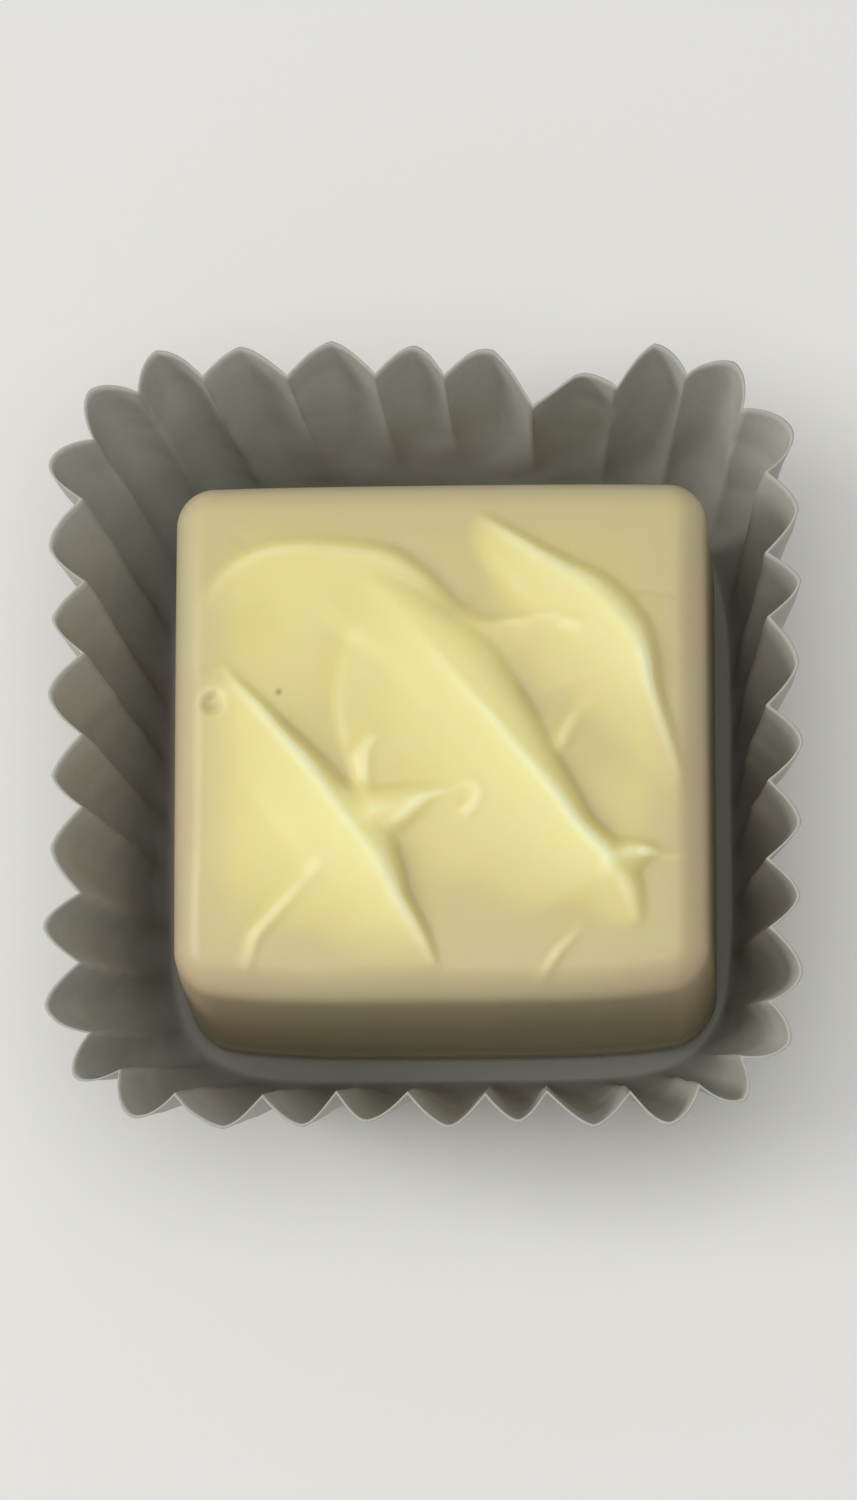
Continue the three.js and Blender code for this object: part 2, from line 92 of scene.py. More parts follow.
# Ridges that the coating fork left on top, in mm from the middle of the top. Each has its points, then its
# height, its steep side's width (left of the direction of travel) and its gentle side's width, given at even
# steps along it. Where ridges meet, the higher one shows.
RIDGES = {
    "middle_ridge": (
        [(-4.5, 7.9), (-2.9, 6.6), (-1.5, 5.0), (0.0, 3.1), (1.0, 1.9), (2.4, 0.3), (3.7, -1.3), (5.2, -3.0),
         (6.5, -4.7), (7.9, -6.2), (8.7, -7.6), (9.1, -9.4)],
        [0.3, 0.5, 0.65, 0.75, 0.78, 0.8, 0.82, 0.82, 0.8, 0.76, 0.45, 0.05],
        [1.0, 1.6, 2.0, 2.3, 2.4, 2.0, 1.5, 1.0, 0.65, 0.8, 0.7, 0.5],
        [3.0, 4.0, 6.0, 8.0, 9.0, 9.0, 9.0, 8.0, 6.0, 4.2, 3.0, 2.2]),
    "left_ridge": (
        [(-10.3, 3.2), (-9.6, 2.0), (-8.5, 0.8), (-7.3, -0.6), (-6.3, -1.7), (-5.2, -3.2), (-4.0, -4.7),
         (-2.8, -6.3), (-1.9, -7.8), (-0.9, -9.4), (-0.2, -10.9)],
        [0.08, 0.35, 0.55, 0.65, 0.72, 0.8, 0.85, 0.85, 0.7, 0.45, 0.1],
        [0.3, 0.4, 0.45, 0.55, 0.7, 1.0, 1.9, 1.0, 0.4, 0.35, 0.3],
        [4.0, 5.0, 6.0, 7.0, 8.0, 8.0, 7.0, 6.0, 5.0, 4.0, 3.0]),
    "right_ridge": (
        [(1.5, 10.2), (2.5, 9.5), (3.5, 8.8), (4.6, 8.0), (5.8, 7.2), (7.0, 6.4), (8.0, 5.4), (8.9, 4.3),
         (9.5, 3.2), (9.8, 2.0), (10.1, 0.9), (10.5, -0.3), (11.0, -1.8), (11.5, -3.2)],
        [0.05, 0.3, 0.5, 0.65, 0.72, 0.78, 0.8, 0.8, 0.78, 0.65, 0.5, 0.38, 0.25, 0.1],
        [0.4, 0.45, 0.5, 0.6, 0.75, 1.0, 1.1, 0.95, 0.5, 0.3, 0.3, 0.3, 0.3, 0.3],
        [1.0, 2.0, 3.0, 4.0, 5.0, 5.5, 6.0, 6.0, 6.0, 5.0, 4.0, 3.0, 2.0, 1.5]),
    "back_lip": (
        [(-10.9, 5.6), (-10.3, 6.8), (-9.3, 7.7), (-8.0, 8.25), (-6.5, 8.35), (-5.0, 8.2), (-3.5, 8.0),
         (-2.3, 7.75), (-1.5, 7.3), (-0.7, 6.7), (0.1, 5.9), (0.9, 5.3), (1.8, 4.95)],
        [0.1, 0.22, 0.3, 0.36, 0.4, 0.43, 0.46, 0.5, 0.45, 0.38, 0.3, 0.22, 0.12],
        [0.5, 0.6, 0.6, 0.6, 0.7, 0.8, 0.8, 0.8, 0.7, 0.7, 0.6, 0.5, 0.4],
        [3.0, 3.5, 4.0, 5.0, 6.0, 6.0, 5.0, 4.0, 3.0, 2.5, 2.0, 1.6, 1.2]),
    "web": (
        [(-4.3, -4.4), (-3.0, -4.0), (-1.7, -3.55), (-0.5, -3.2), (0.7, -3.0), (1.5, -3.05)],
        [0.85, 0.7, 0.57, 0.5, 0.46, 0.36], [1.5, 1.1, 0.8, 0.6, 0.4], [0.3]),
    "web_underside": (
        [(1.5, -3.05), (0.7, -3.0), (-0.5, -3.2), (-1.7, -3.55), (-3.0, -4.0), (-4.3, -4.4)],
        [0.36, 0.46, 0.5, 0.57, 0.7, 0.85], [0.3, 0.4, 0.5, 0.9, 1.3, 1.6], [0.3]),
    "spur": (
        [(7.9, -6.2), (8.6, -6.0), (9.3, -5.85), (9.9, -5.85)],
        [0.76, 0.56, 0.38, 0.15], [0.8, 0.6, 0.45, 0.3], [0.3]),
    "spur_underside": (
        [(9.9, -5.85), (9.3, -5.85), (8.6, -6.0), (7.9, -6.2)],
        [0.15, 0.38, 0.56, 0.76], [0.3, 0.7, 1.2, 1.5], [0.3]),
}

# Fine lines drawn in the coating, given as the ridges are, whose height is laid over what lies there.
FINE_LINES = {
    "middle_crest": ([(-1.0, 4.4), (1.0, 1.9), (2.4, 0.3), (3.7, -1.3), (5.2, -3.0), (6.5, -4.7),
                      (7.9, -6.2)],
                     [0, 0.05, 0.08, 0.08, 0.08, 0.07, 0.03], [0.3], [0.35]),
    "left_crest": ([(-8.5, 0.8), (-7.3, -0.6), (-6.3, -1.7), (-5.2, -3.2), (-4.0, -4.7), (-2.8, -6.3)],
                   [0, 0.05, 0.08, 0.08, 0.08, 0.02], [0.3], [0.35]),
    "foot_line": ([(-0.2, 0.4), (-1.0, 1.9), (-2.5, 3.5), (-3.6, 4.3), (-4.6, 5.2), (-5.3, 6.3)],
                  [0, 0.05, 0.09, 0.12, 0.1, 0.03], [0.6], [1.4]),
    "left_branch": ([(-3.55, -2.7), (-3.7, -2.2), (-4.1, -1.0), (-4.5, 0.5), (-4.5, 2.0), (-4.2, 3.3),
                     (-3.9, 4.3)],
                    [0.14, 0.12, 0.1, 0.1, 0.09, 0.08, 0.03], [0.35], [1.6]),
    "branch_hook": ([(-3.4, -2.8), (-3.4, -1.4), (-3.1, -0.75), (-2.5, -0.3)],
                    [0.12, 0.14, 0.12, 0], [0.5], [0.3]),
    "web_hook": ([(0.5, -3.0), (1.15, -2.8), (1.6, -2.95), (1.7, -3.25), (1.5, -3.6), (1.15, -3.9),
                  (0.8, -4.15)],
                 [0, 0.07, 0.1, 0.12, 0.12, 0.1, 0], [0.4], [0.25]),
    "web_streak": ([(-2.1, -5.3), (-1.9, -4.7), (-1.4, -4.25), (-0.8, -3.8), (-0.2, -3.45)],
                   [0.04, 0.12, 0.16, 0.12, 0.02], [0.5], [0.25]),
    "back_step": ([(1.0, 5.0), (2.2, 4.75), (3.5, 4.85), (4.5, 4.95), (5.6, 5.05)],
                  [0.08, 0.15, 0.15, 0.12, 0.05], [0.25], [2.4]),
    "step_hook": ([(6.5, 4.6), (6.0, 4.7), (5.65, 4.45), (5.5, 3.9)],
                  [0.04, 0.06, 0.05, 0], [0.3], [0.3]),
    "inner_step": ([(7.0, 3.4), (6.5, 4.5), (5.6, 5.3), (4.6, 6.0), (3.6, 7.1), (2.6, 8.3), (2.0, 9.4)],
                   [0, 0.07, 0.1, 0.1, 0.1, 0.09, 0.04], [0.7], [1.3]),
    "short_line": ([(6.9, 1.3), (6.2, 0.4), (5.55, -0.75)], [0.03, 0.1, 0.14], [0.5], [0.3]),
    "left_crease": ([(-5.7, -6.2), (-6.6, -7.2), (-7.6, -8.2), (-8.6, -9.3), (-9.1, -10.7)],
                    [0.06, 0.1, 0.14, 0.18, 0.1], [0.35], [0.4]),
    "left_drag_line": ([(-5.7, -6.2), (-6.4, -5.3), (-7.3, -3.9), (-8.1, -2.5), (-9.0, -1.0)],
                       [0.08, 0.1, 0.1, 0.07, 0], [0.7], [2.0]),
    "right_crease": ([(6.9, -8.7), (6.0, -9.5), (5.3, -10.2), (4.6, -11.3)],
                     [0, 0.1, 0.16, 0.12], [0.3], [0.3]),
    "front_hairline": ([(9.6, -5.9), (10.9, -6.2), (12.2, -6.2)], [0.1, 0.07, 0.06], [0.25], [0.2]),
}

# Hollows that the fork dragged beside the ridges, and hairlines in the skin: points, depth and width in mm.
HOLLOWS = {
    "beside_left_ridge": ([(-7.6, 0.6), (-6.2, -0.6), (-4.9, -1.7), (-3.9, -2.5)], 0.1, 0.7),
    "under_web": ([(-1.5, -5.2), (-1.5, -6.4), (-1.2, -7.6), (-0.4, -9.4)], 0.1, 0.7),
    "in_web_hook": ([(0.95, -3.4), (1.25, -3.35)], 0.08, 0.15),
    "beside_middle_ridge": ([(5.8, -1.4), (6.4, -2.8), (7.2, -4.2), (8.2, -5.0)], 0.1, 0.8),
    "behind_lip": ([(-2.6, 8.6), (-0.9, 7.7), (0.4, 6.4), (1.6, 5.6)], 0.1, 0.8),
    "under_back_step": ([(3.9, 1.9), (4.4, 1.1), (4.8, 0.5)], 0.1, 0.45),
    "back_hairline": ([(9.1, 6.5), (10.3, 6.3), (12.0, 6.3)], 0.04, 0.15),
    "back_nick": ([(-9.8, 9.4), (-9.2, 8.9)], 0.05, 0.15),
}

# Low mounds where the coating lies thicker: place, radius and height in mm.
MOUNDS = [((-6.8, 4.6), 3.5, 0.25), ((-9.5, -5.5), 3.5, 0.12), ((9.5, -3.0), 2.0, 0.12)]

# ---------------------------------------------------------------- paper case
# The rim is measured over flutes that reach their full depth. Most fall a little short of it.
RIM_WIDTH = 35.9
RIM_DEPTH = 38.2
RIM_CORNER_RADIUS = 6.0
BASE_WIDTH = 27.2
BASE_DEPTH = 28.0
BASE_SQUARENESS = 5.5
BASE_OFF_CENTRE = (0.7, -0.4)
CASE_HEIGHT = 13.2
PAPER = 0.14
FLUTES = 36
FLUTE_STEPS = 16
FLUTE_DEPTH = 1.7
# Counted in flutes: where the first crease lies, how far creases drift from even steps, and the drift's lead
FLUTE_START = -4.3
FLUTE_DRIFT = 0.33
FLUTE_DRIFT_LEAD = 4.5
FLUTE_UNEVENNESS = 0.12
FLUTE_SHORTFALL = 0.35
FLUTE_LEAN = 0.07
# How far a flute's top is drawn to a point, from 0 for round to 1 for a straight-sided fold
FLUTE_POINT = 0.25
FLUTE_POINT_SPREAD = 0.2
# The part of the climb at which flutes spring from the plain wall, and how softly they open from there
FLUTE_SPRING = 0.04
FLUTE_EASE = 1.5
# Places on the case are turns anticlockwise from the middle of its front, each with a spread. At the back
# the wall stays smooth for a part of its climb, and at the back right it is pushed in. On both sides the
# flutes slide towards the front on their way down.
SMOOTH_BACK = {"turn": 0.49, "spread": 0.07}
SMOOTH_BACK_REACH = 0.38
RIGHT_SLIDE = {"turn": 0.29, "spread": 0.07}
LEFT_SLIDE = {"turn": 0.71, "spread": 0.07}
FLUTE_SLIDE = 0.017
BUCKLE = {"turn": 0.452, "spread": 0.022}
BUCKLE_DEPTH = 1.9
RIM_UNEVENNESS = 0.25
WALL_RINGS = 44
# How softly the wall turns up out of the floor, as a part of its climb
FOOT_CURVE = 0.22
FLOOR_RINGS = 4
# Wrinkles are soft dents with finer folds over them, whose pattern is shifted so that the two don't match
WRINKLE = 0.16
WRINKLE_SIZE = 4.5
FOLD_FINENESS = 1.7
FOLD_SHIFT = 9
SEEDS = {"creases": 17, "heights": 18, "reaches": 19, "leans": 20, "points": 21}
SEED_SPREAD = 7919
SHUFFLE_FACTOR = 16807
SHUFFLE_MODULUS = 2147483647

# ---------------------------------------------------------------- finishes
COATING_BASE = "#CDC48F"
# Each tint over the base: the mark it follows, where it starts, where it is full, its share there, colour
COATING_TINTS = [
    # Paler where the coating stands higher: partly the thicker coating's own paler tone, partly painted
    # light, the glow that raised translucent coating shows under the lamps.
    ("relief", 0.0, 0.22, 1, "#E3D68F"),
    ("relief", 0.22, 0.85, 1, "#FAF0AA"),
    # Painted shade: hollows are drawn a deeper, darker yellow for the shade that gathers in them.
    ("hollow", -0.02, -0.22, 0.2, "#D8C270"),
    # Painted highlight: crests are drawn nearly white for the glint that light gives them.
    ("crest", 0.012, 0.07, 0.75, "#FFFCD2"),
    # Towards the edges and over the sides: the first tint is partly the coating's own greyish beige edge and
    # partly painted shade; the second, darker one is painted shade along the edges and sides.
    ("inset", 3.2, 0.2, 0.7, "#CBBE98"),
    ("inset", 1.2, 0.0, 0.5, "#B5A888"),
    ("speck", 0, 1, 0.7, "#8A6A40"),
]
EDGE_BLUSH = "#CDB494"
# Sizes of patterns in mm: cloudy patches in the coating, its grain, and fibres in the paper. Real grain and
# real fibres are too fine to show in the picture, so both are drawn coarser.
CLOUD_SIZE = 7
GRAIN_SIZE = 0.5
FIBRE_SIZE = 0.35
# The Mix node's colour sockets, which share their names with its number sockets
MIX_A, MIX_B, MIXED = 6, 7, 2

# ---------------------------------------------------------------- light and view
# Places and sizes are in metres here, powers in watts, and the lens and the sensor in mm
SOFTBOXES = {
    "key": {"place": (-0.70, 0.02, 0.47), "size": 0.28, "power": 2.4},
    "overhead": {"place": (0.02, -0.05, 0.90), "size": 0.70, "power": 3.2},
}
ROOM_COLOUR = "#F4F4F4"
ROOM_STRENGTH = 0.42
FLOOR_HALF = 1.5
CAMERA_PLACE = Vector((18, -88, 400)) * MM
CAMERA_TARGET = Vector((0, 0, 9)) * MM
CAMERA_LENS = 203
CAMERA_SENSOR = 36
CAMERA_CLIP = 0.01


def smooth_step(value, low, high):
    """A soft ramp from 0 at low to 1 at high."""
    t = np.clip((value - low) / (high - low), 0, 1)
    return t * t * (3 - 2 * t)


def smooth_max(a, b, width):
    """The larger of two heights, with the corner where they meet filled over a small width."""
    h = np.clip(0.5 + 0.5 * (a - b) / width, 0, 1)
    return b + (a - b) * h + width * h * (1 - h)


def along(values, t):
    """The value at t (0 to 1) of a list whose values stand at even steps."""
    return np.interp(t, np.linspace(0, 1, len(values)), values) if len(values) > 1 else values[0]


# ---------------------------------------------------------------- chocolate: its shape

def flowing_line(points, steps):
    """Points along a smooth curve through the given ones."""
    knots = np.array([points[0], *points, points[-1]], float)
    count = len(points) - 1
    place = np.linspace(0, count, steps + 1)
    start = np.minimum(place.astype(int), count - 1)
    t = (place - start)[:, None]
    a, b, c, d = (knots[start + k] for k in range(4))
    return 0.5 * (2 * b + (c - a) * t + (2 * a - 5 * b + 4 * c - d) * t**2 + (3 * b - a - 3 * c + d) * t**3)


def nearest_on_line(line, x, y):
    """How far points lie from a line, on which side of it, and how far along it (0 to 1)."""
    distance = np.full(x.shape, np.inf)
    side = np.zeros(x.shape)
    place = np.zeros(x.shape)
    for k in range(len(line) - 1):
        run = line[k + 1] - line[k]
        away_x, away_y = x - line[k][0], y - line[k][1]
        s = np.clip((away_x * run[0] + away_y * run[1]) / (run @ run), 0, 1)
        reach = np.hypot(away_x - s * run[0], away_y - s * run[1])
        closer = reach < distance
        distance = np.where(closer, reach, distance)
        side = np.where(closer, run[0] * away_y - run[1] * away_x, side)
        place = np.where(closer, (k + s) / (len(line) - 1), place)
    return distance, side, place


def ridge_height(ridge, x, y):
    """How high a ridge or a fine line stands at points in mm."""
    points, height, steep, gentle = ridge
    distance, side, t = nearest_on_line(flowing_line(points, SWIRL_STEPS), x, y)
    distance = np.hypot(distance, CREST_SOFTNESS) - CREST_SOFTNESS
    down = np.minimum(distance / along(steep, t), 1)
    fall = STEEP_LEAD * down + (1 - STEEP_LEAD) * down**STEEP_BEND
    slope = np.minimum(distance / along(gentle, t), 1)
    return along(height, t) * np.where(side > 0, 1 - fall, (1 - slope) ** GENTLE_HOLLOW)


def hollow_depth(hollow, x, y):
    """How deep a dragged hollow is, fading out at its ends."""
    points, depth, width = hollow
    distance, _, t = nearest_on_line(flowing_line(points, SWIRL_STEPS), x, y)
    return depth * np.exp(-((distance / width) ** 2)) * smooth_step(np.minimum(t, 1 - t), *HOLLOW_FADE)


def pit_depth(x, y):
    """A burst air bubble: sharp and deep on its left, running out on its right."""
    away = (x - PIT["place"][0]) / PIT["radius"]
    bowl = np.clip(1 - away**2 - ((y - PIT["place"][1]) / PIT["radius"]) ** 2, 0, 1)
    return PIT["depth"] * bowl * (1 - away) * (bowl > 0)


def softened(field, width):
    """A map blurred over a width in mm."""
    reach = np.arange(-BLUR_REACH * width, BLUR_REACH * width + RELIEF_MAP_STEP, RELIEF_MAP_STEP)
    kernel = np.exp(-((reach / width) ** 2) / 2)
    for axis in (0, 1):
        field = np.apply_along_axis(np.convolve, axis, field, kernel / kernel.sum(), mode="same")
    return field


def relief_maps():
    """Square maps in mm: the swirled coating's height above the plain top, how far each place stands out from
    what lies close round it, how far from what lies farther round it, and how near the dark speck is."""
    places = np.arange(-RELIEF_MAP_REACH, RELIEF_MAP_REACH + RELIEF_MAP_STEP, RELIEF_MAP_STEP)
    x, y = np.meshgrid(places, places, indexing="ij")
    height = np.zeros(x.shape)
    for ridge in RIDGES.values():
        height = smooth_max(height, ridge_height(ridge, x, y), RIDGE_BLEND)
    for line in FINE_LINES.values():
        height = height + ridge_height(line, x, y)
    for hollow in HOLLOWS.values():
        height = height - hollow_depth(hollow, x, y)
    for (middle_x, middle_y), radius, mound in MOUNDS:
        height = height + mound * np.exp(-(((x - middle_x) ** 2 + (y - middle_y) ** 2) / radius**2))
    height = softened(height - pit_depth(x, y), RELIEF_SOFTNESS)
    speck = np.hypot(x - SPECK["place"][0], y - SPECK["place"][1]) / SPECK["radius"]
    return {
        "relief": height,
        # This map serves only the painted highlight along the coating's crests.
        "crest": height - softened(height, CREST_REACH),
        # This map serves only the painted shade in the coating's hollows.
        "hollow": height - softened(height, HOLLOW_REACH),
        "speck": np.clip(SPECK["reach_in_radii"] - speck, 0, 1),
    }


def read_map(field, x, y):
    """A map's values at places in mm, straight between its points."""
    across, up = ((v + RELIEF_MAP_REACH) / RELIEF_MAP_STEP for v in (x, y))
    i, j = across.astype(int), up.astype(int)
    s, t = across - i, up - j
    low = field[i, j] * (1 - s) + field[i + 1, j] * s
    high = field[i, j + 1] * (1 - s) + field[i + 1, j + 1] * s
    return low * (1 - t) + high * t


def edge_fall(inset, radius):
    """How far a quarter-round edge falls away, at a distance in from the side it meets."""
    rest = np.maximum(radius - inset, 0)
    return radius - np.sqrt(np.maximum(radius**2 - rest**2, 0))


def chocolate_skin(u, v, fall):
    """Places of the chocolate's skin, with what its finish reads there: the relief maps' values and how far
    in from the side it is. u and v run from -1 to 1 over the lid, fall from 0 at its edge to 1 where the side
    meets the underside."""
    def crowd(t):
        """Where an evenly placed t goes, so that places crowd towards -1 and 1."""
        return t + EDGE_CROWDING / math.pi * np.sin(math.pi * t)

    z = (BLOCK_HEIGHT - TOP_EDGE_ROUND) * (1 - fall)
    groove = FOOT_GROOVE_DEPTH * np.exp(-(((z - FOOT_BEAD_HEIGHT) / FOOT_GROOVE_WIDTH) ** 2))
    swell = FOOT_SPREAD * np.sin(math.pi / 2 * fall) - edge_fall(z, FOOT_EDGE_ROUND) - groove
    half_x = BLOCK_WIDTH / 2 + swell
    half_y = BLOCK_DEPTH / 2 + swell
    radius = TOP_CORNER_RADIUS + (FOOT_CORNER_RADIUS - TOP_CORNER_RADIUS) * fall
    flat_x, flat_y = half_x * crowd(u), half_y * crowd(v)
    over_x = np.maximum(np.abs(flat_x) - half_x + radius, 0)
    over_y = np.maximum(np.abs(flat_y) - half_y + radius, 0)
    both = (over_x > 0) & (over_y > 0)
    over = np.maximum(np.hypot(over_x, over_y), NEARLY_NOTHING)
    squeeze = np.where(both, np.maximum(over_x, over_y) / over, 1)
    x = np.sign(flat_x) * (np.abs(flat_x) - over_x + over_x * squeeze)
    plain_y = np.sign(flat_y) * (np.abs(flat_y) - over_y + over_y * squeeze)
    y = plain_y - FRONT_BOW * np.clip(-v, 0, 1) * (1 - (x / half_x) ** BOW_FLATNESS)
    inset = np.minimum(half_x - np.abs(flat_x), half_y - np.abs(flat_y))
    lid = fall <= 0
    fade = smooth_step(inset, 0, TOP_EDGE_ROUND)
    crown = CROWN_DROP * (np.abs(x / half_x) ** CROWN_FLATNESS + np.abs(plain_y / half_y) ** CROWN_FLATNESS)
    marks = {name: read_map(field, x, plain_y) * fade * lid for name, field in relief_maps().items()}
    # On the sides this mark is 0, so the edge tints, painted shade among them, cover the sides in full.
    marks["inset"] = np.where(lid, inset, 0)
    top = BLOCK_HEIGHT - edge_fall(inset, TOP_EDGE_ROUND) - crown + marks["relief"]
    return np.stack([x, y, np.where(lid, top, z - crown * (1 - fall))], -1), marks


def place_verts(bm, places):
    """Moves each point of a bmesh to its place in metres."""
    for vert, place in zip(bm.verts, places):
        vert.co = place


def finished_piece(name, bm, material):
    """Makes the mesh object of a finished bmesh, smooth all over, and drops the bmesh."""
    mesh = bpy.data.meshes.new(name)
    if bm.calc_volume(signed=True) < 0:
        bmesh.ops.reverse_faces(bm, faces=bm.faces)
    bm.to_mesh(mesh)
    bm.free()
    mesh.shade_smooth()
    mesh.materials.append(material)
    piece = bpy.data.objects.new(name, mesh)
    bpy.context.scene.collection.objects.link(piece)
    return piece


def make_chocolate():
    """The coated square: a lid of fine cells, rings drawn down from its edge, and a flat underside."""
    bm = bmesh.new()
    bmesh.ops.create_grid(bm, x_segments=LID_CELLS, y_segments=LID_CELLS, size=1)
    edge = [e for e in bm.edges if e.is_boundary]
    for _ in range(SIDE_RINGS):
        drawn = bmesh.ops.extrude_edge_only(bm, edges=edge)["geom"]
        edge = [g for g in drawn if isinstance(g, bmesh.types.BMEdge) and g.is_boundary]
        ring = {v for e in edge for v in e.verts}
        bmesh.ops.translate(bm, verts=list(ring), vec=(0, 0, -1 / SIDE_RINGS))
    bmesh.ops.contextual_create(bm, geom=edge)
    bmesh.ops.recalc_face_normals(bm, faces=bm.faces)
    raw = np.array([v.co for v in bm.verts])
    places, marks = chocolate_skin(raw[:, 0], raw[:, 1], -raw[:, 2])
    for name, values in marks.items():
        layer = bm.verts.layers.float.new(name)
        for vert, value in zip(bm.verts, values):
            vert[layer] = value
    place_verts(bm, (places + [*BLOCK_OFF_CENTRE, BLOCK_FOOT]) * MM)
    return finished_piece("coated_square", bm, white_chocolate())


# ---------------------------------------------------------------- paper case: its shape

def shuffled(seed, count):
    """Numbers between -1 and 1, the same every time."""
    state = seed * SEED_SPREAD
    numbers = []
    for _ in range(count):
        state = state * SHUFFLE_FACTOR % SHUFFLE_MODULUS
        numbers.append(state / SHUFFLE_MODULUS * 2 - 1)
    return np.array(numbers)


def crease_turns():
    """Where each crease between two flutes lies, as a turn round the case."""
    flute = np.arange(FLUTES)
    drift = FLUTE_DRIFT * np.cos(2 * math.pi * (flute + FLUTE_DRIFT_LEAD) / FLUTES)
    return (flute + FLUTE_START + drift + shuffled(SEEDS["creases"], FLUTES) * FLUTE_UNEVENNESS) / FLUTES


def rounded_rectangle(turn, half_x, half_y, radius):
    """Points of a rectangle with round corners and the ways out from it, at turns (0 to 1) anticlockwise
    from the middle of the front side."""
    flat_x, flat_y, bend = half_x - radius, half_y - radius, math.pi / 2 * radius
    runs = [flat_x, bend, 2 * flat_y, bend, 2 * flat_x, bend, 2 * flat_y, bend, flat_x]
    starts = np.concatenate([[0], np.cumsum(runs)])
    gone = turn % 1 * starts[-1]
    run = np.clip(np.searchsorted(starts, gone, side="left") - 1, 0, len(runs) - 1)
    left = gone - starts[run]
    quarter = run // 2
    on_bend = run % 2 == 1
    angle = math.pi / 2 * (quarter - 1) + np.where(on_bend, left / radius, 0)
    out = np.stack([np.cos(angle), np.sin(angle)], -1)
    corners = np.array([(flat_x, -flat_y), (flat_x, flat_y), (-flat_x, flat_y), (-flat_x, -flat_y)])
    corner = corners[np.where(on_bend, quarter, (quarter + 3) % 4)]
    slid = np.where(on_bend, 0, left + np.where(run == 0, flat_x, 0))
    way = np.stack([-out[:, 1], out[:, 0]], -1)
    return corner + out * radius + way * slid[:, None], out


def floor_edge(toward):
    """The edge of the case's floor, a square with well rounded corners, in the direction of points."""
    reach = np.abs(toward) / [BASE_WIDTH / 2, BASE_DEPTH / 2]
    scale = (reach**BASE_SQUARENESS).sum(-1) ** (-1 / BASE_SQUARENESS)
    return toward * scale[:, None] + BASE_OFF_CENTRE


def flute_swell(flute, through):
    """How far a flute bulges (0 to 1): each has its own lean and comes to a sharper or rounder top."""
    top = 0.5 + FLUTE_LEAN * shuffled(SEEDS["leans"], FLUTES)[flute]
    half = np.where(through < top, through / top, (1 - through) / (1 - top)) / 2
    point = FLUTE_POINT + FLUTE_POINT_SPREAD * shuffled(SEEDS["points"], FLUTES)[flute]
    return (1 - point) * np.sin(math.pi * half) + point * 2 * half


def nearness(turn, place):
    """How near a turn is to the middle of a place on the case: 1 there, and 0 well away from it."""
    return np.exp(-(((turn % 1 - place["turn"]) / place["spread"]) ** 2))


def flute_growth(climb, turn):
    """How far a flute has opened (0 to 1) at a height up the wall, which stays smooth longer at the back."""
    spring = FLUTE_SPRING + SMOOTH_BACK_REACH * nearness(turn, SMOOTH_BACK)
    open_part = np.clip((climb - spring) / (1 - spring), 0, 1)
    return open_part**FLUTE_EASE * (1 + FLUTE_EASE * (1 - open_part))


def wrinkles(level, climb):
    """Small pushes in and out of the handled paper, in mm, that grow towards its free rim."""
    spots = np.column_stack([level, CASE_HEIGHT * climb]) / WRINKLE_SIZE
    soft = np.array([noise.noise(Vector(spot)) for spot in spots])
    sharp = np.array([abs(noise.noise(Vector(spot * FOLD_FINENESS + FOLD_SHIFT))) for spot in spots])
    return WRINKLE * (soft + sharp) * np.sqrt(climb)


def case_skin(turn, flute, through, path, inner):
    """Places of the case's skin: path runs from 0 at the middle of the floor to 1 at its edge and 2 at the
    rim, and inner is 0 on the outside of the paper and 1 on the inside."""
    climb = np.maximum(path - 1, 0)
    outline = (RIM_WIDTH - FLUTE_DEPTH) / 2, (RIM_DEPTH - FLUTE_DEPTH) / 2, RIM_CORNER_RADIUS
    rim, out = rounded_rectangle(turn, *outline)
    slid = turn + FLUTE_SLIDE * (nearness(turn, LEFT_SLIDE) - nearness(turn, RIGHT_SLIDE))
    foot = floor_edge(rounded_rectangle(slid, *outline)[0])
    swell = flute_swell(flute, through)
    shortfall = FLUTE_SHORTFALL * np.abs(shuffled(SEEDS["reaches"], FLUTES))[flute]
    lobe = swell * (FLUTE_DEPTH - shortfall) - FLUTE_DEPTH / 2
    dent = BUCKLE_DEPTH * nearness(turn, BUCKLE) * climb**2
    plain = foot + (rim - foot) * climb[:, None]
    push = lobe * flute_growth(climb, turn) - dent - wrinkles(plain, climb) - inner * PAPER
    level = (plain + out * push[:, None]) * np.minimum(path, 1)[:, None]
    height = CASE_HEIGHT + RIM_UNEVENNESS * shuffled(SEEDS["heights"], FLUTES)[flute] * swell
    rise = climb**2 / (climb + FOOT_CURVE) * (1 + FOOT_CURVE)
    lift = inner * PAPER * np.clip(1 - climb / FOOT_CURVE, 0, 1)
    return np.column_stack([level, rise * height + lift])


